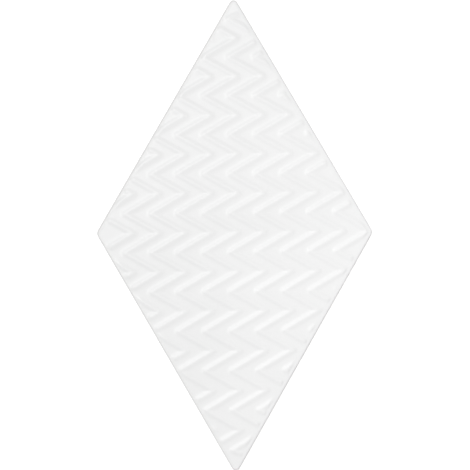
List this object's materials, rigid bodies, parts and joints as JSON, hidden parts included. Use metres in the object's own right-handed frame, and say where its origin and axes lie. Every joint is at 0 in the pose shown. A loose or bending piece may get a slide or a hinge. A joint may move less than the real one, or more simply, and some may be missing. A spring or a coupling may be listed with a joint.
{
  "type": "rhombus relief wall tile",
  "caption": "Glazed ceramic wall tile shaped as a 60 degree rhombus, its face covered by a raised zigzag relief, with a plain flat back for fixing to a wall.",
  "frame": {"origin": "middle of the flat back face", "axes": "+Z out of the glazed face, +Y along the long diagonal, +X along the short diagonal"},
  "size_m": [0.14, 0.24, 0.009],
  "materials": {
    "glaze": "gloss white glaze over the face and its rounded edge, bare pale fired clay on the sides and back"
  },
  "bodies": {
    "root": {"tile": "glaze"}
  },
  "joints": []
}
